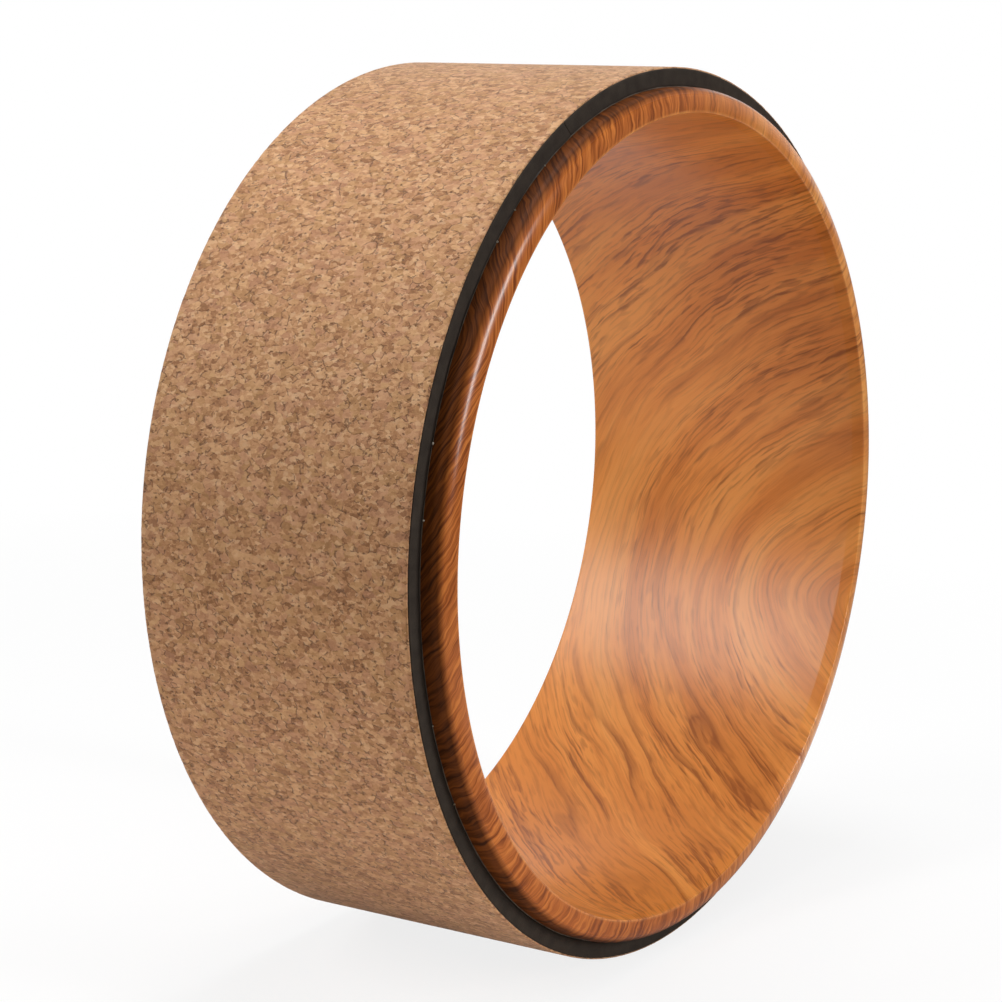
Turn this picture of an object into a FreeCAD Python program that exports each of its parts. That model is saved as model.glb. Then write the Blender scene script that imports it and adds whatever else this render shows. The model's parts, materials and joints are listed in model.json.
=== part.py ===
# Yoga wheel: a wide moulded hoop with a printed wood-grain skin, wrapped in black foam faced with cork.
# Millimetres. The wheel stands on its tread: its axis lies along Y and its centre is the origin, +Z up.
# In the profiles x is the distance from the axis and y the place along it.
import FreeCAD, Part
import math
import os
from FreeCAD import Vector

# Overall sizes
wheel_diameter = 329.2
pad_width = 112.5
rim_reach = 8.75

# Layers, from the tread inwards
cork_thickness = 0.5
cork_glue_thickness = 0.2
foam_thickness = 6.1
core_glue_thickness = 0.3
hoop_wall = 9.7
film_thickness = 0.3
film_tuck = 6.0

# Rim of the hoop: a round at the bore, a narrow flat land, a shallow crown and an outer round. The bore
# flares a little towards the near rim.
bore_flare = 0.6
flare_length = 5.3
bore_round = 0.6
rim_land = 0.8
crown_radius = 12.5
rim_edge_round = 4.0

# Seam where the two ends of the wrapped strip meet, counted from +X towards +Z
seam_angle = 115.9
seam_lean_angle = 22.0
seam_gap = 0.3
cut_overrun = 2.0

# Radii and half widths that follow from the sizes above
tread_radius = wheel_diameter / 2
cork_inner_radius = tread_radius - cork_thickness
foam_outer_radius = cork_inner_radius - cork_glue_thickness
foam_inner_radius = foam_outer_radius - foam_thickness
skin_radius = foam_inner_radius - core_glue_thickness
core_radius = skin_radius - film_thickness
bore_radius = skin_radius - hoop_wall
pad_half = pad_width / 2
wheel_half = pad_half + rim_reach
tuck_half = pad_half - film_tuck

axis_start = Vector(0, 0, 0)
axis_along = Vector(0, 1, 0)
axis_back = Vector(0, -1, 0)


def spin(edges):
    """Turn a closed profile about the wheel's axis into a solid."""
    face = Part.Face(Part.Wire(Part.__sortEdges__(edges)))
    return face.revolve(axis_start, axis_along, 360)


def line(start, end):
    return Part.LineSegment(start, end).toShape()


def arc(centre, radius, start_angle, end_angle, side):
    """Arc of a rim profile, with its angles counted from the outward radius towards the rim."""
    turns = (start_angle, (start_angle + end_angle) / 2, end_angle)
    points = [centre + Vector(math.cos(turn), side * math.sin(turn), 0) * radius for turn in turns]
    return Part.Arc(*points).toShape()


def rim_side(inset, side, flare_rise):
    """Edges of one rim from the bore to the outside, a constant depth under the finished surface."""
    round_middle = bore_radius + flare_rise + bore_round
    land_end = round_middle + rim_land
    crown_low = wheel_half - crown_radius
    edge_run = skin_radius - rim_edge_round - land_end
    edge_rise = math.sqrt((crown_radius - rim_edge_round) ** 2 - edge_run ** 2)
    meet_angle = math.atan2(edge_rise, edge_run)
    bore_centre = Vector(round_middle, side * (wheel_half - bore_round), 0)
    crown_centre = Vector(land_end, side * crown_low, 0)
    edge_centre = Vector(skin_radius - rim_edge_round, side * (crown_low + edge_rise), 0)
    run = flare_length - bore_round
    rise = flare_rise + bore_round
    flare_angle = math.atan2(rise, run) - math.asin(bore_round / math.hypot(run, rise))
    quarter = math.pi / 2
    bore_arc = arc(bore_centre, bore_round - inset, math.pi - flare_angle, quarter, side)
    crown_arc = arc(crown_centre, crown_radius - inset, quarter, meet_angle, side)
    edge_arc = arc(edge_centre, rim_edge_round - inset, meet_angle, 0, side)
    land_height = side * (wheel_half - inset)
    land = line(Vector(bore_centre.x, land_height, 0), Vector(land_end, land_height, 0))
    edges = [bore_arc, land, crown_arc, edge_arc]
    bore_point = Vector(bore_radius + inset, bore_centre.y, 0)
    if flare_rise > 0:
        flare_start = wheel_half - flare_length - inset * math.tan(flare_angle / 2)
        bore_point = Vector(bore_radius + inset, side * flare_start, 0)
        flare_way = Vector(-math.cos(flare_angle), side * math.sin(flare_angle), 0)
        edges.append(line(bore_point, bore_centre + flare_way * (bore_round - inset)))
    outer_point = Vector(skin_radius - inset, edge_centre.y, 0)
    return edges, bore_point, outer_point


def both_rims(inset):
    """Edges of the two rims joined along the bore, with the two open ends on the outside."""
    near_edges, near_bore, near_outer = rim_side(inset, -1, bore_flare)
    far_edges, far_bore, far_outer = rim_side(inset, 1, 0)
    return near_edges + far_edges + [line(near_bore, far_bore)], near_outer, far_outer


def core_hoop():
    """Moulded plastic hoop, one film thickness under the finished surface."""
    edges, near_outer, far_outer = both_rims(film_thickness)
    return spin(edges + [line(near_outer, far_outer)])


def woodgrain_film():
    """Printed and lacquered skin over the bore and both rims, with its edges tucked under the pad."""
    edges = []
    for inset in (0, film_thickness):
        layer, near_outer, far_outer = both_rims(inset)
        edges += layer
        edges.append(line(near_outer, Vector(near_outer.x, -tuck_half, 0)))
        edges.append(line(far_outer, Vector(far_outer.x, tuck_half, 0)))
    for height in (-tuck_half, tuck_half):
        edges.append(line(Vector(core_radius, height, 0), Vector(skin_radius, height, 0)))
    return spin(edges)


def core_adhesive():
    """Cement under the foam, thicker between the film's tucked edges."""
    corners = [
        Vector(skin_radius, -pad_half, 0),
        Vector(foam_inner_radius, -pad_half, 0),
        Vector(foam_inner_radius, pad_half, 0),
        Vector(skin_radius, pad_half, 0),
        Vector(skin_radius, tuck_half, 0),
        Vector(core_radius, tuck_half, 0),
        Vector(core_radius, -tuck_half, 0),
        Vector(skin_radius, -tuck_half, 0),
    ]
    return spin([line(start, end) for start, end in zip(corners, corners[1:] + corners[:1])])


def pad_layer(inner_radius, outer_radius):
    """Full ring of one layer of the pad."""
    corners = [
        Vector(inner_radius, -pad_half, 0),
        Vector(outer_radius, -pad_half, 0),
        Vector(outer_radius, pad_half, 0),
        Vector(inner_radius, pad_half, 0),
    ]
    return spin([line(start, end) for start, end in zip(corners, corners[1:] + corners[:1])])


def seam_slab():
    """Thin leaning slab through the pad where the ends of the strip meet."""
    stack = tread_radius - foam_inner_radius
    depth = (stack + cut_overrun) / math.cos(math.radians(seam_lean_angle))
    corner = Vector(tread_radius - depth, -pad_half - cut_overrun, -seam_gap / 2)
    slab = Part.makeBox(depth + cut_overrun, pad_width + 2 * cut_overrun, seam_gap, corner)
    slab.rotate(Vector(tread_radius, 0, 0), axis_back, seam_lean_angle)
    slab.rotate(axis_start, axis_back, seam_angle)
    return slab


def wrapped_strip(inner_radius, outer_radius):
    """Layer of the pad as a strip whose two ends stop at the seam."""
    return pad_layer(inner_radius, outer_radius).cut(seam_slab())


def seam_glue():
    """Cement between the two ends of the strip, through the foam and the cork."""
    return pad_layer(foam_inner_radius, tread_radius).common(seam_slab())


nodes = {
    "core_hoop": core_hoop(),
    "woodgrain_film": woodgrain_film(),
    "core_adhesive": core_adhesive(),
    "foam_pad": wrapped_strip(foam_inner_radius, foam_outer_radius),
    "cork_adhesive": wrapped_strip(foam_outer_radius, cork_inner_radius),
    "cork_wrap": wrapped_strip(cork_inner_radius, tread_radius),
    "seam_glue": seam_glue(),
}

os.makedirs("parts", exist_ok=True)
for name, shape in nodes.items():
    solid = shape.Solids[0]
    print(name, len(shape.Solids), solid.isValid(), round(shape.Volume), "cubic millimetres")
    solid.exportStep(os.path.join("parts", name + ".step"))
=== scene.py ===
import json
import math
import random
import bpy
import numpy as np
from mathutils import Color, Matrix, Quaternion, Vector, noise


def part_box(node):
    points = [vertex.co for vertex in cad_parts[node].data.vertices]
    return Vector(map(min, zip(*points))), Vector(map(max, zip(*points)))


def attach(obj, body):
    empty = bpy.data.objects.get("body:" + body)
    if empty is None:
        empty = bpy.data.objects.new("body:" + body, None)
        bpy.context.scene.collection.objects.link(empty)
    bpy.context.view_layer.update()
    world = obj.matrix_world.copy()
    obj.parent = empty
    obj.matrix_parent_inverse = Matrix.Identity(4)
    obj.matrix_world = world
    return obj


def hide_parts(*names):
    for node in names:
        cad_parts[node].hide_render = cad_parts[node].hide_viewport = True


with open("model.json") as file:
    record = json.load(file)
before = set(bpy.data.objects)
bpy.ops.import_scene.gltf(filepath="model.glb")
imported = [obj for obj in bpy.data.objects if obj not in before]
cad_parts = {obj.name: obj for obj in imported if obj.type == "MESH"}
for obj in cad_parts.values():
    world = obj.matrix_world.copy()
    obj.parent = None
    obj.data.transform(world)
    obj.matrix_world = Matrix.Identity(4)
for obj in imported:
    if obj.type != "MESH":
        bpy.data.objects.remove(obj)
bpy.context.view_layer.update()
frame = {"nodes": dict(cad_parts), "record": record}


# Moulded hoop
# One ring of ivory ABS, injection moulded, that carries every other piece. The printed skin and the
# pad cover it all over, so it keeps its own solid and only gets its plain moulded finish.

ivory = (214, 204, 180)
ivory_shade = (196, 184, 158)


def paint(shade):
    """Linear colour, with full alpha, of a shade as it looks on screen."""
    red, green, blue = (value / 255 for value in shade)
    return (*Color((red, green, blue)).from_srgb_to_scene_linear(), 1.0)


def feed(tree, socket, value):
    """Give an input a value or the socket that feeds it."""
    if isinstance(value, bpy.types.NodeSocket):
        tree.links.new(value, socket)
    else:
        socket.default_value = value


def add(tree, kind, settings=None, **inputs):
    """New node in a tree; each input takes a value or the socket that feeds it."""
    made = tree.nodes.new(kind)
    for key, value in (settings or {}).items():
        setattr(made, key, value)
    for key, value in inputs.items():
        feed(tree, made.inputs[key], value)
    return made


def ramp(tree, factor, stops):
    """Colours, given as they look on screen, or plain values spread along a factor."""
    made = add(tree, "ShaderNodeValToRGB", Fac=factor)
    elements = made.color_ramp.elements
    while len(elements) < len(stops):
        elements.new(1.0)
    for element, (place, shade) in zip(elements, stops):
        element.position = place
        element.color = paint(shade) if isinstance(shade, tuple) else (shade, shade, shade, 1.0)
    return made.outputs["Color"]


def finish_of(name):
    """New material with its node tree and its one shader."""
    made = bpy.data.materials.new(name)
    made.use_nodes = True
    return made, made.node_tree, made.node_tree.nodes["Principled BSDF"]


def unevenness_group():
    """Soft mottling and fine grit that moulded, foamed and dried surfaces share."""
    group = bpy.data.node_groups.new("unevenness", "ShaderNodeTree")
    for name in ("Mottle Scale", "Grit Scale"):
        group.interface.new_socket(name, in_out="INPUT", socket_type="NodeSocketFloat")
    for name in ("Mottle", "Grit"):
        group.interface.new_socket(name, in_out="OUTPUT", socket_type="NodeSocketFloat")
    given = group.nodes.new("NodeGroupInput")
    result = group.nodes.new("NodeGroupOutput")
    place = group.nodes.new("ShaderNodeTexCoord").outputs["Object"]
    mottle = add(group, "ShaderNodeTexNoise", Vector=place, Scale=given.outputs["Mottle Scale"], Detail=3.0)
    grit = add(group, "ShaderNodeTexNoise", Vector=place, Scale=given.outputs["Grit Scale"], Detail=2.0)
    group.links.new(mottle.outputs["Fac"], result.inputs["Mottle"])
    group.links.new(grit.outputs["Fac"], result.inputs["Grit"])
    return group


unevenness = unevenness_group()


def uneven(tree, mottle_scale, grit_scale):
    """Mottle and grit of the shared unevenness, at scales counted per metre."""
    made = add(tree, "ShaderNodeGroup", {"node_tree": unevenness})
    made.inputs["Mottle Scale"].default_value = mottle_scale
    made.inputs["Grit Scale"].default_value = grit_scale
    return made.outputs["Mottle"], made.outputs["Grit"]


def relief(tree, shader, height, strength, distance):
    """Fine relief on a shader from a height."""
    bump = add(tree, "ShaderNodeBump", Height=height, Strength=strength, Distance=distance)
    tree.links.new(bump.outputs["Normal"], shader.inputs["Normal"])


def hoop_plastic():
    """Ivory plastic, a little mottled and half matt as it leaves the mould."""
    made, tree, shader = finish_of("moulded_ivory_plastic")
    mottle, grit = uneven(tree, 40.0, 900.0)
    tree.links.new(ramp(tree, mottle, [(0.3, ivory_shade), (0.7, ivory)]), shader.inputs["Base Color"])
    tree.links.new(ramp(tree, mottle, [(0.2, 0.42), (0.8, 0.55)]), shader.inputs["Roughness"])
    relief(tree, shader, grit, 0.2, 0.0001)
    return made


core_hoop = frame["nodes"]["core_hoop"]
core_hoop.material_slots[0].material = hoop_plastic()


# Wood-grain skin
# A printed film dipped over the bore, both rims and the bare bands of the hoop, then sealed with clear
# gloss lacquer. Its edges run a little way under the pad, and the bore flares a little at the near rim
# alone. The print shows one wide arch of grain.

mounts = {mount["name"]: mount for mount in frame["record"]["mounts"]}
bore_radius = mounts["through_bore"]["dims"]["r_mm"] / 1000
rim_half = mounts["far_rim_face"]["pos_m"][1]
pad_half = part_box("cork_wrap")[1].y
hoop_wall = 0.0097
skin_radius = bore_radius + hoop_wall
film_thickness = 0.0003
film_tuck = 0.006
bore_flare = 0.0006
flare_length = 0.0053
flare_blend = 0.0002
bore_round = 0.0006
rim_land = 0.0008
crown_radius = 0.0125
rim_edge_round = 0.004
skin_turns = 720
bore_rows = 54
bore_arc_rows = 7
crown_arc_rows = 9
edge_arc_rows = 10
tuck_rows = 6


def arc_points(centre, radius, start, end, count):
    """Points of an arc in a profile of radius and place along the axis."""
    angles = np.linspace(start, end, count)
    return [(centre[0] + radius * math.cos(a), centre[1] + radius * math.sin(a)) for a in angles]


def rim_points(inset, flare_rise):
    """One rim from the bore's end to the outside, some depth under the finished surface.

    A flare rise of zero leaves that end of the bore straight.
    """
    round_middle = bore_radius + flare_rise + bore_round
    land_end = round_middle + rim_land
    edge_run = skin_radius - rim_edge_round - land_end
    edge_rise = math.sqrt((crown_radius - rim_edge_round) ** 2 - edge_run ** 2)
    meet = math.atan2(edge_rise, edge_run)
    quarter = math.pi / 2
    crown_low = rim_half - crown_radius
    bore_centre = (round_middle, rim_half - bore_round)
    edge_centre = (skin_radius - rim_edge_round, crown_low + edge_rise)
    run = flare_length - bore_round
    rise = flare_rise + bore_round
    flare_angle = math.atan2(rise, run) - math.asin(bore_round / math.hypot(run, rise))
    flare_start = (bore_radius + inset, rim_half - flare_length - inset * math.tan(flare_angle / 2))
    bore_arc = arc_points(bore_centre, bore_round - inset, math.pi - flare_angle, quarter, bore_arc_rows)
    shares = (0.0, flare_blend / run, 0.4, 0.8)
    points = [tuple(np.array(flare_start) * (1 - s) + np.array(bore_arc[0]) * s) for s in shares]
    points += bore_arc
    points += arc_points((land_end, crown_low), crown_radius - inset, quarter, meet, crown_arc_rows)
    points += arc_points(edge_centre, rim_edge_round - inset, meet, 0, edge_arc_rows)[1:]
    return points


def skin_outline():
    """Closed outline of the skin, and for each point its place across the print."""
    tuck = pad_half - film_tuck
    sides = []
    for flare_rise in (0.0, bore_flare):
        finished = rim_points(0, flare_rise)
        finished += [(skin_radius, y) for y in np.linspace(finished[-1][1], tuck, tuck_rows)[1:]]
        under = rim_points(film_thickness, flare_rise) + [(skin_radius - film_thickness, tuck)]
        steps = [math.dist(a, b) for a, b in zip(finished, finished[1:])]
        across = rim_half - flare_length + np.concatenate([[0], np.cumsum(steps)])
        sides.append((finished, under, across))
    (far, far_under, far_across), (near, near_under, near_across) = sides
    bore_edge = rim_half - flare_length - flare_blend
    bore_straight = np.linspace(bore_edge, -bore_edge, bore_rows)
    outline = far[::-1] + [(bore_radius, y) for y in bore_straight]
    outline += [(r, -y) for r, y in near] + [(r, -y) for r, y in near_under[::-1]] + far_under
    place = [*far_across[::-1], *bore_straight, *-near_across]
    place += [-y for r, y in near_under[::-1]] + [y for r, y in far_under]
    return np.array(outline), np.array(place)


def mesh_object(name, points, faces, material):
    """Smooth mesh object from arrays of points and faces."""
    mesh = bpy.data.meshes.new(name)
    mesh.from_pydata(points, [], faces)
    mesh.polygons.foreach_set("use_smooth", np.ones(len(mesh.polygons), bool))
    mesh.materials.append(material)
    mesh.validate()
    made = bpy.data.objects.new(name, mesh)
    bpy.context.scene.collection.objects.link(made)
    return made


def swept_faces(turns, rows, closed):
    """Four-sided faces between neighbouring copies of a closed outline."""
    steps = np.arange(turns if closed else turns - 1)
    here = steps[:, None] * rows
    there = ((steps + 1) % turns)[:, None] * rows
    row = np.arange(rows)[None, :]
    next_row = (row + 1) % rows
    quads = np.stack([here + row, here + next_row, there + next_row, there + row], -1)
    return quads.reshape(-1, 4).tolist()


def spun(outline, angles):
    """Points of an outline of radius and axial place turned to each angle."""
    radius, along = outline[:, 0], outline[:, 1]
    ones = np.ones_like(angles)[:, None]
    points = [np.cos(angles)[:, None] * radius, ones * along, np.sin(angles)[:, None] * radius]
    return np.stack(points, -1).reshape(-1, 3)


arch_angle = math.radians(-22)
arch_low = 0.045
arch_left_spread = 0.122
arch_right_spread = 0.065
arch_right_slope = math.radians(55)
arch_leg_start = 0.150
arch_leg_spread = 0.100
arch_step = 0.003
arch_leg = 0.400


def arch_heading(run):
    """How steeply the grain climbs at a distance along the print from the foot of the arch."""
    if run < 0:
        return math.pi / 2 * math.tanh(-run / arch_left_spread)
    climb = min(max((run - arch_leg_start) / arch_leg_spread, 0.0), 1.0)
    return arch_right_slope * math.tanh(run / arch_right_spread) + (math.pi / 2 - arch_right_slope) * climb


def arch_line():
    """Points and directions of one grain line round the arch, from leg to leg."""
    legs = []
    for side in (-1, 1):
        run, place, leg = 0.0, arch_low, []
        for _ in range(round(arch_leg / arch_step)):
            heading = arch_heading(run)
            leg.append((run, place, math.cos(heading), -side * math.sin(heading)))
            run += side * math.cos(heading) * arch_step
            place -= math.sin(heading) * arch_step
        legs.append(leg)
    return np.array(legs[0][:0:-1] + legs[1])


lean_angle = math.radians(155)
lean_reach = 0.110
lean_most = 2.2
lean_least = 0.35
growth_blur = 9


def growth(angles, place):
    """Distance of each point of the print from the main grain line, across the grain."""
    line = arch_line()
    length = 2 * math.pi * bore_radius
    run = (arch_angle - angles) * bore_radius
    run = (run + length / 2) % length - length / 2
    shifted = [line + np.array([shift, 0, 0, 0]) for shift in (-length, 0, length)]
    line = np.concatenate(shifted)
    values = np.empty((len(angles), len(place)))
    row = np.arange(len(place))
    for index, start in enumerate(run):
        along = start - line[:, 0]
        over = place[:, None] - line[None, :, 1]
        nearest = np.argmin(along ** 2 + over ** 2, axis=1)
        values[index] = line[nearest, 2] * over[row, nearest] - line[nearest, 3] * along[nearest]
    shares = np.hanning(2 * growth_blur + 3)[1:-1]
    steps = range(-growth_blur, growth_blur + 1)
    values = sum(np.roll(values, step, axis=0) * share for step, share in zip(steps, shares)) / shares.sum()
    past_rim = np.maximum(np.abs(place) - (rim_half - bore_round), 0.0)
    off_lean = (angles - lean_angle + math.pi) % (2 * math.pi) - math.pi
    lean = lean_least + (lean_most - lean_least) * np.exp(-((off_lean * bore_radius / lean_reach) ** 2))
    return values + lean[:, None] * past_rim[None, :]


print_angles = (-180, -85, -60, -45, -20, 0, 25, 45, 65, 90, 180)
bold_shares = (0.8, 0.85, 0.85, 0.55, 0.42, 0.55, 1.0, 0.95, 0.38, 0.35, 0.8)
# Painted shade: how far the ground colour is darkened at each angle, most at the bottom and top of the bore
painted_shade_shares = (0.0, 0.16, 0.14, 0.06, 0.0, 0.0, 0.0, 0.03, 0.10, 0.08, 0.0)


def round_print(angles, shares):
    """Share at each angle round the wheel of something that changes along the print."""
    turn = np.degrees((angles + math.pi) % (2 * math.pi) - math.pi)
    return np.interp(turn, print_angles, shares)


pale_wood = (250, 175, 94)
plain_wood = (244, 163, 82)
deep_wood = (226, 143, 67)
dark_line = (144, 76, 34)
darkest_share = 0.80
face_pale = (214, 128, 58)
face_wood = (183, 100, 42)
face_dark = (130, 64, 24)
band_brown = (120, 64, 24)
band_dark = (62, 30, 9)
rim_span = 0.016

# Marks of the print, in metres: streaks have a length and a width, swings a size and an amount. Rings
# have a number in each metre and a wander of their spacing.
grain_swings = ((0.070, 0.009), (0.030, 0.0022), (0.016, 0.0009), (0.0040, 0.0006))
broad_streak = (0.150, 0.014)
fibre_streak = (0.018, 0.0006)
bundle_streak = (0.110, 0.020)
drift_streak = (0.120, 0.020)
break_streak = (0.026, 0.0040)
gap_streak = (0.011, 0.0019)
dash_streak = (0.010, 0.0014)
stripe_streak = (0.018, 0.0014)
stripe_swing = (0.006, 0.0040)
wide_rings = (70.0, 3.0)
line_rings = (210.0, 6.0)
hair_rings = (470.0, 9.0)
fibre_share = 0.2
heart_rate = -10.0
patch_scale = 15.0
peel_scale = 160.0


def maths(tree, operation, first, second):
    """Result of a sum on two values or sockets."""
    made = tree.nodes.new("ShaderNodeMath")
    made.operation = operation
    for socket, value in zip(made.inputs, (first, second)):
        feed(tree, socket, value)
    return made.outputs[0]


def blended(tree, factor, under, over):
    """One colour laid over another by a factor."""
    made = tree.nodes.new("ShaderNodeMix")
    made.data_type = "RGBA"
    places = {"Factor_Float": factor, "A_Color": under, "B_Color": over}
    for socket in made.inputs:
        if socket.identifier in places:
            feed(tree, socket, places[socket.identifier])
    return next(socket for socket in made.outputs if socket.identifier == "Result_Color")


def streaks(tree, place, across, size, detail):
    """Noise drawn out along the grain, with the length and width of its marks."""
    length, width = size
    spread = add(tree, "ShaderNodeVectorMath", {"operation": "SCALE"}, Vector=place, Scale=1 / length)
    turn = maths(tree, "MULTIPLY", across, 1 / width)
    made = add(
        tree,
        "ShaderNodeTexNoise",
        {"noise_dimensions": "4D"},
        Vector=spread.outputs[0],
        W=turn,
        Scale=1.0,
        Detail=detail,
    )
    return made.outputs["Fac"]


def swing(tree, place, bend):
    """Soft shift to either side, with the size of a bend and the amount of the shift."""
    size, amount = bend
    soft = add(tree, "ShaderNodeTexNoise", Vector=place, Scale=1 / size, Detail=1.0).outputs["Fac"]
    return maths(tree, "MULTIPLY", maths(tree, "SUBTRACT", soft, 0.5), amount)


def rings(tree, place, across, spacing):
    """Saw teeth from zero to one, each the width of one growth ring, whose spacing wanders."""
    per_metre, wander = spacing
    drift = maths(tree, "MULTIPLY", streaks(tree, place, across, drift_streak, 1.0), wander)
    turn = maths(tree, "ADD", maths(tree, "MULTIPLY", across, per_metre), drift)
    return maths(tree, "FRACT", turn, 0.0)


def woodgrain_print():
    """Print of dark lines on orange wood, deeper in colour on the rims, under a clear lacquer. Painted shade
    darkens the bore at its top and bottom, and painted light makes the rims paler on the right.
    """
    made, tree, shader = finish_of("printed_wood_grain_under_lacquer")
    place = tree.nodes.new("ShaderNodeTexCoord").outputs["Object"]
    across = add(tree, "ShaderNodeAttribute", {"attribute_name": "growth"}).outputs["Fac"]
    rim = add(tree, "ShaderNodeAttribute", {"attribute_name": "rim"}).outputs["Fac"]
    spots = add(tree, "ShaderNodeSeparateXYZ", Vector=place).outputs
    right = maths(tree, "MULTIPLY", spots["X"], 1 / bore_radius)
    low = maths(tree, "MULTIPLY", spots["Z"], -1 / bore_radius)
    heart = maths(tree, "MULTIPLY", across, heart_rate)
    for bend in grain_swings:
        across = maths(tree, "ADD", across, swing(tree, place, bend))

    # Ground colour of the wood, darkened by painted shade at the top and bottom of the bore
    broad = maths(tree, "MULTIPLY", streaks(tree, place, across, broad_streak, 2.0), 1 - fibre_share)
    fibres = maths(tree, "MULTIPLY", streaks(tree, place, across, fibre_streak, 1.0), fibre_share)
    mixed = maths(tree, "ADD", broad, fibres)
    painted_shade = add(tree, "ShaderNodeAttribute", {"attribute_name": "painted_shade"}).outputs["Fac"]
    mixed = maths(tree, "SUBTRACT", mixed, painted_shade)
    colour = ramp(tree, mixed, [(0.38, deep_wood), (0.5, plain_wood), (0.60, pale_wood)])

    # Where dark lines gather
    bundles = streaks(tree, place, across, bundle_streak, 1.0)
    bundles = ramp(tree, bundles, [(0.44, 1.0), (0.60, 0.35)])
    bold = add(tree, "ShaderNodeAttribute", {"attribute_name": "bold"}).outputs["Fac"]
    bundles = maths(tree, "MULTIPLY", bundles, bold)
    bundles = maths(tree, "MULTIPLY", bundles, ramp(tree, heart, [(0.70, 1.0), (1.0, 0.45)]))

    # Wide rings in patches, strongest low in the wheel
    wide = rings(tree, place, across, wide_rings)
    wide = ramp(tree, wide, [(0.0, 0.2), (0.05, 0.0), (0.70, 0.0), (0.97, 1.0), (1.0, 0.2)])
    shown = add(tree, "ShaderNodeTexNoise", Vector=place, Scale=patch_scale, Detail=1.0).outputs["Fac"]
    wide = maths(tree, "MULTIPLY", wide, ramp(tree, shown, [(0.38, 0.0), (0.54, 1.0)]))
    wide = maths(tree, "MULTIPLY", wide, ramp(tree, low, [(0.50, 0.22), (0.80, 0.70)]))

    # Broken lines
    lines = rings(tree, place, across, line_rings)
    lines = ramp(tree, lines, [(0.69, 0.0), (0.85, 1.0), (0.94, 1.0), (1.0, 0.0)])
    breaks = streaks(tree, place, across, break_streak, 2.0)
    lines = maths(tree, "MULTIPLY", lines, ramp(tree, breaks, [(0.43, 0.05), (0.58, 0.9)]))

    # Fine hairs and short dashes
    hairs = rings(tree, place, across, hair_rings)
    hairs = ramp(tree, hairs, [(0.58, 0.0), (0.78, 0.65), (0.90, 0.65), (1.0, 0.0)])
    gaps = streaks(tree, place, across, gap_streak, 1.0)
    hairs = maths(tree, "MULTIPLY", hairs, ramp(tree, gaps, [(0.43, 0.0), (0.60, 0.85)]))
    dashes = streaks(tree, place, across, dash_streak, 0.0)
    hairs = maths(tree, "ADD", hairs, ramp(tree, dashes, [(0.55, 0.0), (0.67, 0.5)]))
    dark = maths(tree, "MULTIPLY", maths(tree, "ADD", lines, hairs), bundles)
    dark = maths(tree, "MINIMUM", maths(tree, "ADD", dark, wide), darkest_share)
    colour = blended(tree, dark, colour, paint(dark_line))

    # Striped rims and outer bands, made paler on the right by painted light where more light falls
    waved = maths(tree, "ADD", across, swing(tree, place, stripe_swing))
    stripes = streaks(tree, place, waved, stripe_streak, 2.0)
    face_colour = ramp(tree, stripes, [(0.34, face_dark), (0.5, face_wood), (0.66, face_pale)])
    band_colour = ramp(tree, stripes, [(0.36, band_dark), (0.64, band_brown)])
    # Painted light: the rim and band colours fade out towards the right of the wheel
    painted_right_light = ramp(tree, right, [(0.0, 1.0), (0.5, 0.25)])
    face_share = maths(tree, "MULTIPLY", ramp(tree, rim, [(0.02, 0.0), (0.10, 1.0)]), painted_right_light)
    band_share = maths(tree, "MULTIPLY", ramp(tree, rim, [(0.44, 0.0), (0.60, 1.0)]), painted_right_light)
    colour = blended(tree, face_share, colour, face_colour)
    colour = blended(tree, band_share, colour, band_colour)
    tree.links.new(colour, shader.inputs["Base Color"])

    # Lacquer: glossy in the bore, duller on the outer bands, with a bright outer round on the right
    gleam = ramp(tree, rim, [(0.50, 0.0), (0.57, 0.4), (0.68, 0.4), (0.74, 0.0)])
    gleam = maths(tree, "MULTIPLY", gleam, ramp(tree, right, [(0.0, 0.0), (0.2, 1.0)]))
    rough = ramp(tree, rim, [(0.0, 0.34), (0.02, 0.20), (0.10, 0.22), (0.44, 0.22), (0.58, 0.55)])
    rough = maths(tree, "SUBTRACT", rough, gleam)
    tree.links.new(rough, shader.inputs["Roughness"])
    gloss = ramp(tree, rim, [(0.06, 0.5), (0.10, 0.27), (0.44, 0.27), (0.58, 0.08)])
    gloss = maths(tree, "ADD", gloss, gleam)
    tree.links.new(gloss, shader.inputs["Specular IOR Level"])
    peel = add(tree, "ShaderNodeTexNoise", Vector=place, Scale=peel_scale, Detail=1.0).outputs["Fac"]
    relief(tree, shader, peel, 0.05, 0.0004)
    return made


def rim_share(place):
    """How far each row of the print has run over the rim, zero at the bore's edge and one at the pad."""
    return np.clip((np.abs(place) - (rim_half - bore_round)) / rim_span, 0.0, 1.0)


outline, print_place = skin_outline()
angles = np.arange(skin_turns) * 2 * math.pi / skin_turns
skin_faces = swept_faces(skin_turns, len(outline), True)
skin = mesh_object("woodgrain_skin", spun(outline, angles), skin_faces, woodgrain_print())
skin_growth = skin.data.attributes.new("growth", "FLOAT", "POINT")
skin_growth.data.foreach_set("value", growth(angles, print_place).ravel())
skin_rim = skin.data.attributes.new("rim", "FLOAT", "POINT")
skin_rim.data.foreach_set("value", np.tile(rim_share(print_place), skin_turns))
# Bold sets where dark lines gather; the painted shade darkens the wood where shade falls in the bore
for name, shares in (("bold", bold_shares), ("painted_shade", painted_shade_shares)):
    spread = skin.data.attributes.new(name, "FLOAT", "POINT")
    spread.data.foreach_set("value", np.repeat(round_print(angles, shares), len(outline)))
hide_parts("woodgrain_film")
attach(skin, "root")


# Cement on the hoop
# Contact cement brushed on the hoop, on which the foam is pressed down. It fills the space under the
# foam, creeps out as a fine uneven bead along both edges and leaves a few dried flecks there.

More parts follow.
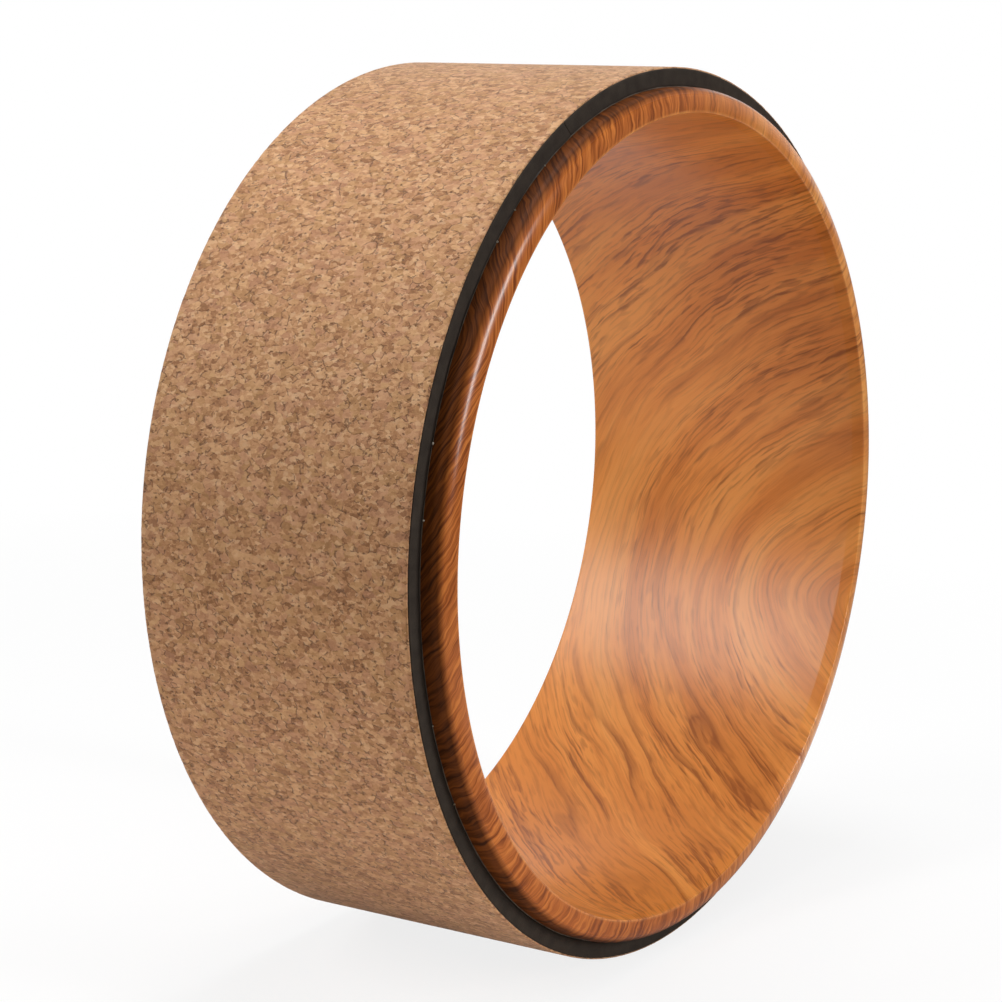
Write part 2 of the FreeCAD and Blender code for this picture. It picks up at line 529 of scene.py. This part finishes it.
core_cement = 0.0003
foam_inner = skin_radius + core_cement
cement_turns = 720
bead_least = 0.00004
bead_most = 0.0002
bead_rate = 9
fleck_angles = (122.0, 130.4, 135.6, 162.2, 171.3, 196.8, 208.5)
far_fleck_count = 9
fleck_size = 0.00045
fleck_rows = 6
fleck_columns = 10
fleck_swell = 0.25
fleck_lumps = 1.7
dried_cement = (96, 82, 66)
cement_shade = (58, 48, 38)
fleck_shade = (150, 136, 112)
fleck_white = (190, 182, 168)


def cement_finish(name, light, dark):
    """Dried cement, mottled between two shades and gritty."""
    made, tree, shader = finish_of(name)
    mottle, grit = uneven(tree, 260.0, 2600.0)
    tree.links.new(ramp(tree, mottle, [(0.35, dark), (0.65, light)]), shader.inputs["Base Color"])
    tree.links.new(ramp(tree, grit, [(0.3, 0.4), (0.7, 0.65)]), shader.inputs["Roughness"])
    relief(tree, shader, grit, 0.4, 0.0002)
    return made


def hoop_cement_points():
    """Rings of the cement's outline, with the bead along both edges swelling and shrinking."""
    tuck = pad_half - film_tuck
    rings = []
    for angle in np.arange(cement_turns) * 2 * math.pi / cement_turns:
        ring = []
        for side in (-1, 1):
            spot = Vector((math.cos(angle), side, math.sin(angle))) * bead_rate
            bead = bead_least + (bead_most - bead_least) * max(noise.noise(spot), 0.0)
            corner = [
                (skin_radius - film_thickness, tuck),
                (skin_radius, tuck),
                (skin_radius, pad_half + bead),
                (skin_radius + bead / 2, pad_half + bead / 2),
                (foam_inner + bead, pad_half),
                (foam_inner, pad_half - bead),
            ]
            corner = corner if side < 0 else corner[::-1]
            ring += [(r, side * y) for r, y in corner]
        rings.append(spun(np.array(ring), np.array([angle])))
    return np.concatenate(rings), len(rings[0])


cement_points, cement_rows = hoop_cement_points()
cement = mesh_object(
    "hoop_cement",
    cement_points,
    swept_faces(cement_turns, cement_rows, True),
    cement_finish("dried_contact_cement", dried_cement, cement_shade),
)
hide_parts("core_adhesive")
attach(cement, "root")


def fleck_mesh():
    """Small flattened blobs of cement in the corner between the foam and the hoop."""
    draw = random.Random(7)
    places = [(math.radians(angle), -1) for angle in fleck_angles]
    places += [(draw.uniform(0, 2 * math.pi), 1) for _ in range(far_fleck_count)]
    points = []
    faces = []
    for angle, side in places:
        start = len(points)
        half = [fleck_size * draw.uniform(0.6, 1.1) for _ in range(3)]
        middle = Vector((skin_radius + half[0] / 2, side * (pad_half + half[1] / 2), 0))
        for row in range(fleck_rows + 1):
            tilt = math.pi * row / fleck_rows
            for column in range(fleck_columns):
                turn = 2 * math.pi * column / fleck_columns
                outward = math.sin(tilt)
                way = Vector((outward * math.cos(turn), math.cos(tilt), outward * math.sin(turn)))
                swell = 1 + fleck_swell * noise.noise(way * fleck_lumps + Vector((angle, 0, 0)))
                spot = middle + Vector([a * b * swell for a, b in zip(half, way)])
                points.append(Matrix.Rotation(-angle, 3, "Y") @ spot)
        for row in range(fleck_rows):
            row_start = start + row * fleck_columns
            for column in range(fleck_columns):
                a = row_start + column
                b = row_start + (column + 1) % fleck_columns
                faces.append((a, b, b + fleck_columns, a + fleck_columns))
    return points, faces


fleck_points, fleck_faces = fleck_mesh()
fleck_finish = cement_finish("pale_cement_fleck", fleck_white, fleck_shade)
flecks = mesh_object("cement_flecks", fleck_points, fleck_faces, fleck_finish)
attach(flecks, "root")


# Foam strip
# A strip of black closed-cell EVA foam, cut together with the cork, bent round the hoop and pressed
# on the cement. Its two ends meet in a leaning butt seam.

foam_thickness = 0.0061
cork_cement_thickness = 0.0002
cork_thickness = 0.0005
foam_outer = foam_inner + foam_thickness
cork_inner = foam_outer + cork_cement_thickness
tread_radius = cork_inner + cork_thickness
seam_angle = math.radians(115.9)
seam_lean = math.radians(22.0)
seam_gap = 0.0003
foam_turns = 720
end_share = 0.00002
foam_edge_rows = 9
foam_face_rows = 12
foam_round = 0.0003
foam_wave = 0.00006
foam_wave_count = 41
foam_wave_shifts = 7
foam_pinch = 0.00018
foam_pinch_reach = 0.0008
foam_cell_scale = 1900.0
foam_black = (61, 53, 46)
foam_dark = (49, 42, 36)


def strip_points(outline, shares, gap, shape):
    """Copies of an outline along a strip bent round the wheel from one side of the seam to the other."""
    radius = outline[:, 0]
    first = seam_angle - (tread_radius - radius) * math.tan(seam_lean) / radius + gap / 2 / radius
    angles = first + shares[:, None] * (2 * math.pi - gap / radius)
    radius = np.broadcast_to(radius, angles.shape)
    along = np.broadcast_to(outline[:, 1], angles.shape)
    radius, along = shape(radius, along, angles)
    return np.stack([radius * np.cos(angles), along, radius * np.sin(angles)], -1).reshape(-1, 3)


def strip_object(name, outline, turns, gap, shape, material):
    """Strip bent round the wheel, closed at both of its ends."""
    shares = np.linspace(0, 1, turns)
    shares = np.concatenate([[0, end_share], shares[1:-1], [1 - end_share, 1]])
    turns = len(shares)
    rows = len(outline)
    faces = swept_faces(turns, rows, False)
    faces.append(list(range(rows))[::-1])
    faces.append([(turns - 1) * rows + row for row in range(rows)])
    made = mesh_object(name, strip_points(outline, shares, gap, shape), faces, material)
    for end in made.data.polygons[len(faces) - 2:]:
        end.use_smooth = False
    return made


def layer_outline(inner, outer, half, edge_rows, face_rows, rounding):
    """Outline of a layer of the pad with rounded outer corners."""
    quarter = math.pi / 2
    near = [(r, -half) for r in np.linspace(inner, outer - rounding, edge_rows)]
    near += arc_points((outer - rounding, rounding - half), rounding, -quarter, 0, 4)[1:]
    face = [(outer, y) for y in np.linspace(rounding - half, half - rounding, face_rows)[1:-1]]
    return np.array(near + face + [(r, -y) for r, y in near[::-1]])


def foam_shape(radius, along, angles):
    """Slightly wavy cut edges that draw in at the seam."""
    wave = foam_wave * np.sin(angles * foam_wave_count + 3 * np.sin(angles * foam_wave_shifts))
    off_seam = np.abs((angles - angles[:1]) * radius)
    off_seam = np.minimum(off_seam, off_seam[::-1])
    pinch = foam_pinch * np.exp(-((off_seam / foam_pinch_reach) ** 2))
    edge = np.abs(along) > pad_half - foam_round
    return radius, along - np.sign(along) * np.where(edge, wave + pinch, 0.0)


def foam_finish():
    """Matt black foam with fine closed cells."""
    made, tree, shader = finish_of("black_closed_cell_foam")
    mottle, grit = uneven(tree, 180.0, 2400.0)
    colour = ramp(tree, mottle, [(0.3, foam_dark), (0.7, foam_black)])
    place = tree.nodes.new("ShaderNodeTexCoord").outputs["Object"]
    cells = add(tree, "ShaderNodeTexVoronoi", Vector=place, Scale=foam_cell_scale).outputs["Distance"]
    tree.links.new(colour, shader.inputs["Base Color"])
    tree.links.new(ramp(tree, grit, [(0.3, 0.78), (0.7, 0.92)]), shader.inputs["Roughness"])
    shader.inputs["Specular IOR Level"].default_value = 0.2
    relief(tree, shader, cells, 0.35, 0.0002)
    return made


foam_outline = layer_outline(foam_inner, foam_outer, pad_half, foam_edge_rows, foam_face_rows, foam_round)
foam = strip_object("foam_strip", foam_outline, foam_turns, seam_gap, foam_shape, foam_finish())
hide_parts("foam_pad")
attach(foam, "root")


# Cement under the cork
# A thin even coat of the same cement that laminates the cork to the foam, cut through at the seam with
# them. Only its edge reaches the open, a hair inside the cut edges of the pad.

cork_cement_inset = 0.0004
cork_cement_half = pad_half - cork_cement_inset
cork_cement_edge_rows = 3
cork_cement_round = 0.00005
cork_cement_outline = layer_outline(
    foam_outer,
    cork_inner,
    cork_cement_half,
    cork_cement_edge_rows,
    foam_face_rows,
    cork_cement_round,
)


def plain_shape(radius, along, angles):
    """Even coat, left as its outline gives it."""
    return radius, along


cork_cement = strip_object(
    "cork_cement",
    cork_cement_outline,
    foam_turns,
    seam_gap,
    plain_shape,
    cement_finish("laminating_cement", cement_shade, foam_dark),
)
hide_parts("cork_adhesive")
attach(cork_cement, "root")


# Cork sheet
# A sheet of agglomerated cork, granules of ground bark pressed in a block, sliced thin and sanded. Its
# face has fine pits between the granules, and its cut edges are a little ragged.

cork_turns = 900
cork_rows = 88
cork_edge_rows = 4
cork_round = 0.0004
cork_inset = 0.0003
cork_half = pad_half - cork_inset
cork_gap = 0.00001
open_middle = 0.043
open_half = 0.0075
cork_pit = 0.00032
cork_pit_scale = 410
cork_pit_start = 0.3
cork_swell = 0.00005
cork_swell_scale = 620
cork_ragged = 0.0001
cork_ragged_scale = 900
large_granule = 0.0026
small_granule = 0.0012
speck_spacing = 0.0015
large_share = 0.28
small_share = 0.34
fine_share = 0.38
fine_scale = 1300.0
wobble_scale = 800.0
wobble_reach = 0.0012
pressed_flat = (1.0, 0.65, 1.0)
crack_width = 0.09
crack_patch_scale = 420.0
crack_depth = 0.85
cork_pale = (212, 165, 120)
cork_tan = (193, 144, 101)
cork_brown = (176, 126, 85)
cork_bark = (146, 100, 64)
cork_pink = (194, 142, 110)
cork_ochre = (186, 142, 92)
cork_dark = (92, 58, 34)
cork_chip_pale = (222, 180, 138)


def seam_opening(along):
    """Gap between the ends of the cork: shut, apart from one short stretch."""
    stretch = np.exp(-(((along - open_middle) / open_half) ** 4))
    return cork_gap + (seam_gap - cork_gap) * stretch


def cork_shape(radius, along, angles):
    """Sanded face with shallow pits, and ragged cut edges."""
    radius = radius.copy()
    along = along.copy()
    edge = np.abs(along) > cork_half - cork_round
    face = radius > cork_inner
    points = np.stack([radius * np.cos(angles), along, radius * np.sin(angles)], -1)
    for index in map(tuple, np.argwhere(face)):
        spot = Vector(points[index])
        swell = noise.noise(spot * cork_swell_scale)
        pit = min(noise.noise(spot * cork_pit_scale + Vector((5, 5, 5))) + cork_pit_start, 0.0)
        radius[index] += cork_swell * swell + cork_pit * pit
        if edge[index]:
            along[index] -= math.copysign(cork_ragged, spot.y) * (1 + noise.noise(spot * cork_ragged_scale))
    return radius, along


def granule_tones(tree, place, size):
    """Two random values for each granule of a mean size, for its tone and its kind."""
    cells = add(tree, "ShaderNodeTexVoronoi", Vector=place, Scale=1 / size).outputs["Color"]
    parts = add(tree, "ShaderNodeSeparateColor", Color=cells).outputs
    return parts["Red"], parts["Green"]


def crevices(tree, place, size, width):
    """Thin lines between granules of a mean size; the width is a share of that size."""
    settings = {"feature": "DISTANCE_TO_EDGE"}
    edges = add(tree, "ShaderNodeTexVoronoi", settings, Vector=place, Scale=1 / size).outputs["Distance"]
    return ramp(tree, edges, [(0.0, 1.0), (width, 0.0)])


def cork_finish():
    """Pressed granules of several browns with pale chips, dark specks and cracks between them; the dark in
    the cracks is partly their own colour and partly painted shade.
    """
    made, tree, shader = finish_of("agglomerated_cork")
    place = tree.nodes.new("ShaderNodeTexCoord").outputs["Object"]
    wobble = add(tree, "ShaderNodeTexNoise", Vector=place, Scale=wobble_scale, Detail=2.0).outputs["Color"]
    wobble = add(tree, "ShaderNodeVectorMath", {"operation": "SCALE"}, Vector=wobble, Scale=wobble_reach)
    moved = add(tree, "ShaderNodeVectorMath", {"operation": "ADD"}, Vector=place)
    tree.links.new(wobble.outputs[0], moved.inputs[1])
    pressed = add(tree, "ShaderNodeMapping", Vector=moved.outputs[0], Scale=pressed_flat).outputs["Vector"]
    large_tone, large_pick = granule_tones(tree, pressed, large_granule)
    small_tone, small_pick = granule_tones(tree, pressed, small_granule)
    fine = add(tree, "ShaderNodeTexNoise", Vector=pressed, Scale=fine_scale, Detail=2.0).outputs["Fac"]
    large_tone = maths(tree, "MULTIPLY", large_tone, large_share)
    small_tone = maths(tree, "MULTIPLY", small_tone, small_share)
    tone = maths(tree, "ADD", large_tone, small_tone)
    tone = maths(tree, "ADD", tone, maths(tree, "MULTIPLY", fine, fine_share))
    colour = ramp(tree, tone, [(0.25, cork_bark), (0.40, cork_brown), (0.53, cork_tan), (0.74, cork_pale)])
    colour = blended(tree, ramp(tree, large_pick, [(0.65, 0.0), (0.80, 0.4)]), colour, paint(cork_pink))
    colour = blended(tree, ramp(tree, large_pick, [(0.15, 0.4), (0.30, 0.0)]), colour, paint(cork_ochre))
    colour = blended(tree, ramp(tree, small_pick, [(0.86, 0.0), (0.92, 0.6)]), colour, paint(cork_chip_pale))

    # The dark laid in the cracks is partly their own colour and partly painted shade down in them; the dark
    # specks are the cork's own
    patch = add(tree, "ShaderNodeTexNoise", Vector=place, Scale=crack_patch_scale, Detail=1.0).outputs["Fac"]
    crack = crevices(tree, pressed, large_granule, crack_width)
    crack = maths(tree, "MULTIPLY", crack, ramp(tree, patch, [(0.52, 0.0), (0.60, 0.9)]))
    dots = add(tree, "ShaderNodeTexVoronoi", Vector=pressed, Scale=1 / speck_spacing).outputs
    picked = add(tree, "ShaderNodeSeparateColor", Color=dots["Color"]).outputs["Blue"]
    specks = ramp(tree, dots["Distance"], [(0.14, 0.9), (0.34, 0.0)])
    specks = maths(tree, "MULTIPLY", specks, ramp(tree, picked, [(0.62, 0.0), (0.80, 1.0)]))
    crack = maths(tree, "MAXIMUM", crack, specks)
    colour = blended(tree, maths(tree, "MULTIPLY", crack, crack_depth), colour, paint(cork_dark))
    tree.links.new(colour, shader.inputs["Base Color"])
    shader.inputs["Roughness"].default_value = 0.85
    shader.inputs["Specular IOR Level"].default_value = 0.25
    shader.inputs["Sheen Weight"].default_value = 0.26
    relief(tree, shader, maths(tree, "SUBTRACT", tone, crack), 0.5, 0.0004)
    return made


cork_outline = layer_outline(cork_inner, tread_radius, cork_half, cork_edge_rows, cork_rows, cork_round)
cork_opening = seam_opening(cork_outline[:, 1])
cork = strip_object("cork_sheet", cork_outline, cork_turns, cork_opening, cork_shape, cork_finish())
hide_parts("cork_wrap")
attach(cork, "root")


# Seam cement
# A film of cement between the two ends of the strip, through the foam and the cork. It lies a little
# below the surface, and deeper on one short stretch where the seam stands open.

seam_rows = 10
seam_columns = 90
seam_recess = 0.00012
open_recess = 0.0007
seam_lumps = 700


def seam_mesh():
    """Two leaning faces of a thin film, joined round their border."""
    points = []
    for side in (-1, 1):
        for column in range(seam_columns):
            along = (cork_half - seam_recess) * (2 * column / (seam_columns - 1) - 1)
            depth = open_recess * math.exp(-(((along - open_middle) / open_half) ** 4))
            lump = noise.noise(Vector((along * seam_lumps, 0, 0)))
            top = tread_radius - seam_recess * (1.5 + lump) - depth
            for radius in np.linspace(foam_inner, top, seam_rows):
                angle = seam_angle - (tread_radius - radius) * math.tan(seam_lean) / radius
                gap = seam_gap if radius < foam_outer else seam_opening(along)
                angle += side * gap / 2 / radius
                points.append((radius * math.cos(angle), along, radius * math.sin(angle)))
    size = seam_rows * seam_columns
    faces = []
    for column in range(seam_columns - 1):
        for row in range(seam_rows - 1):
            a = column * seam_rows + row
            b = a + seam_rows
            faces.append((a, a + 1, b + 1, b))
            faces.append((size + a, size + b, size + b + 1, size + a + 1))
    border = [column * seam_rows for column in range(seam_columns)]
    border += [(seam_columns - 1) * seam_rows + row for row in range(1, seam_rows)]
    border += [column * seam_rows + seam_rows - 1 for column in range(seam_columns - 2, -1, -1)]
    border += list(range(seam_rows - 2, 0, -1))
    for a, b in zip(border, border[1:] + border[:1]):
        faces.append((a, b, size + b, size + a))
    return points, faces


seam_points, seam_faces = seam_mesh()
seam_finish = cement_finish("seam_cement", cork_bark, cement_shade)
seam = mesh_object("seam_cement", seam_points, seam_faces, seam_finish)
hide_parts("seam_glue")
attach(seam, "root")


# Floor and light
# A white sweep under the wheel that keeps its shadow. A long panel hangs overhead in front, a softbox
# above, a narrow one at the front right and one behind on the left. The surround gives hardly any
# light and is white only where it is seen.

floor_reach = 60.0
floor_white = (0.95, 0.95, 0.95, 1.0)
sweep_middle = (-0.30, 0.20, -tread_radius)
sweep_near = 0.65
sweep_far = 1.0
# Painted pool of light: the floor sends back warm, bright light beside the wheel's left and duller light
# further off
bounce_middle = (-0.22, -0.05, -tread_radius)
bounce_near = 0.15
bounce_far = 0.45
bounce_most = (249, 240, 230)
bounce_least = (140, 133, 125)
room_bounce = 0.2
# Painted shadow: what mirrors see of the floor is darkened round the wheel's foot
foot_middle = (-0.10, -0.10, -tread_radius)
foot_near = 0.18
foot_far = 0.34
foot_shadow_level = 0.3
shadow_near = 0.45
shadow_far = 1.0
shadow_lift = 0.83
backdrop_way = (0.834, 0.552, 0.0)
backdrop_start = 0.4
backdrop_full = 0.85
surround_level = 0.02


def seen_directly(tree):
    """One where a ray comes straight or by a mirror or glass from the camera, else zero."""
    path = tree.nodes.new("ShaderNodeLightPath")
    seen = maths(tree, "MAXIMUM", path.outputs["Is Camera Ray"], path.outputs["Is Glossy Ray"])
    return maths(tree, "MAXIMUM", seen, path.outputs["Is Transmission Ray"])


def distance_from(tree, middle):
    """Distance of a place on the floor from a point."""
    place = tree.nodes.new("ShaderNodeTexCoord").outputs["Object"]
    made = add(tree, "ShaderNodeVectorMath", {"operation": "DISTANCE"}, Vector=place)
    made.inputs[1].default_value = middle
    return made.outputs["Value"]


def mixed_shader(tree, factor, first, second):
    """Two shaders mixed by a factor."""
    made = add(tree, "ShaderNodeMixShader", Fac=factor)
    tree.links.new(first, made.inputs[1])
    tree.links.new(second, made.inputs[2])
    return made.outputs[0]


def floor_finish():
    """White as seen, with a soft shadow. Mirrors see a painted shadow round the wheel's foot, and the light
    that it sends back is a duller white painted as a warm pool beside the wheel's left.
    """
    made, tree, shader = finish_of("white_sweep")
    tree.nodes.remove(shader)
    matt = add(tree, "ShaderNodeBsdfDiffuse", Color=floor_white).outputs["BSDF"]
    away = distance_from(tree, sweep_middle)
    level = ramp(tree, away, [(sweep_near, 1.0), (sweep_far, room_bounce)])
    # Painted shadow round the wheel's foot, in what mirrors see of the floor
    beside = distance_from(tree, foot_middle)
    painted_foot_shadow = ramp(tree, beside, [(foot_near, foot_shadow_level), (foot_far, 1.0)])
    level = maths(tree, "MULTIPLY", level, painted_foot_shadow)
    camera_ray = tree.nodes.new("ShaderNodeLightPath").outputs["Is Camera Ray"]
    level = maths(tree, "MAXIMUM", level, camera_ray)
    glow = add(tree, "ShaderNodeEmission", Strength=level).outputs["Emission"]
    # Painted pool of bounce light that the floor sends back to the wheel
    aside = distance_from(tree, bounce_middle)
    painted_bounce_pool = ramp(tree, aside, [(bounce_near, bounce_most), (bounce_far, bounce_least)])
    bounce = add(tree, "ShaderNodeBsdfDiffuse", Color=painted_bounce_pool).outputs["BSDF"]
    lift = ramp(tree, away, [(shadow_near, shadow_lift), (shadow_far, 1.0)])
    shown = mixed_shader(tree, lift, matt, glow)
    whole = mixed_shader(tree, seen_directly(tree), bounce, shown)
    tree.links.new(whole, tree.nodes["Material Output"].inputs["Surface"])
    return made


corner_ways = ((-1, -1), (1, -1), (1, 1), (-1, 1))
corners = [(x * floor_reach, y * floor_reach, -tread_radius) for x, y in corner_ways]
floor = mesh_object("floor", corners, [(0, 1, 2, 3)], floor_finish())

world = bpy.data.worlds.new("pale_surround")
world.use_nodes = True
bpy.context.scene.world = world
background = world.node_tree.nodes["Background"]
background.inputs["Color"].default_value = (1.0, 1.0, 1.0, 1.0)
tree = world.node_tree
way = tree.nodes.new("ShaderNodeTexCoord").outputs["Generated"]
facing = add(tree, "ShaderNodeVectorMath", {"operation": "DOT_PRODUCT"}, Vector=way)
facing.inputs[1].default_value = backdrop_way
mirrored = ramp(tree, facing.outputs["Value"], [(backdrop_start, room_bounce), (backdrop_full, 1.0)])
camera_ray = tree.nodes.new("ShaderNodeLightPath").outputs["Is Camera Ray"]
shown_level = maths(tree, "MAXIMUM", mirrored, camera_ray)
shown_level = maths(tree, "MULTIPLY", shown_level, seen_directly(tree))
shown_level = maths(tree, "MAXIMUM", shown_level, surround_level)
tree.links.new(shown_level, background.inputs["Strength"])


def softbox(name, place, target, size, power, roll=0.0):
    """Rectangular area lamp that faces a target, rolled about its own axis by some degrees."""
    lamp = bpy.data.lights.new(name, "AREA")
    lamp.shape = "RECTANGLE"
    lamp.size, lamp.size_y = size
    lamp.energy = power
    made = bpy.data.objects.new(name, lamp)
    made.location = place
    facing = (Vector(target) - Vector(place)).to_track_quat("-Z", "Y")
    made.rotation_euler = (facing @ Quaternion((0, 0, 1), math.radians(roll))).to_euler()
    bpy.context.scene.collection.objects.link(made)


wheel_middle = (0, 0, 0)
softbox("overhead_panel", place=(0.0, -0.75, 2.0), target=(0.0, -0.75, 0.0), size=(0.7, 2.9), power=26.0)
softbox("softbox_top", place=(0.0, 0.1, 2.0), target=wheel_middle, size=(0.8, 0.5), power=13.0)
softbox(
    "softbox_right",
    place=(0.351, -1.254, 0.288),
    target=wheel_middle,
    size=(0.13, 0.52),
    power=7.6,
    roll=-40.0,
)
softbox("softbox_left", place=(-1.02, 0.85, 1.02), target=wheel_middle, size=(0.7, 0.9), power=14.5)


# Camera
# It stands a little above the wheel's top, at the front left, and sees the near rim, the bore and the
# tread at the photograph's angle.

view_azimuth = math.radians(-56.531)
view_elevation = math.radians(10.574)
view_distance = 1.04489
view_aside = -0.013834
view_lift = 0.000214
lens_pixels = 2740.4
frame_pixels = 1002
sensor = 36.0

flat = math.cos(view_elevation)
back = Vector((math.sin(view_azimuth) * flat, -math.cos(view_azimuth) * flat, math.sin(view_elevation)))
right = Vector((math.cos(view_azimuth), math.sin(view_azimuth), 0.0))
above = back.cross(right)
lens = bpy.data.cameras.new("view")
lens.sensor_width = sensor
lens.sensor_fit = "HORIZONTAL"
lens.lens = lens_pixels / frame_pixels * sensor
camera = bpy.data.objects.new("view", lens)
turn = Matrix((right, above, back)).transposed().to_4x4()
stand = back * view_distance + right * view_aside + above * view_lift
camera.matrix_world = Matrix.Translation(stand) @ turn
bpy.context.scene.collection.objects.link(camera)
bpy.context.scene.camera = camera
bpy.context.scene.view_settings.view_transform = "Standard"
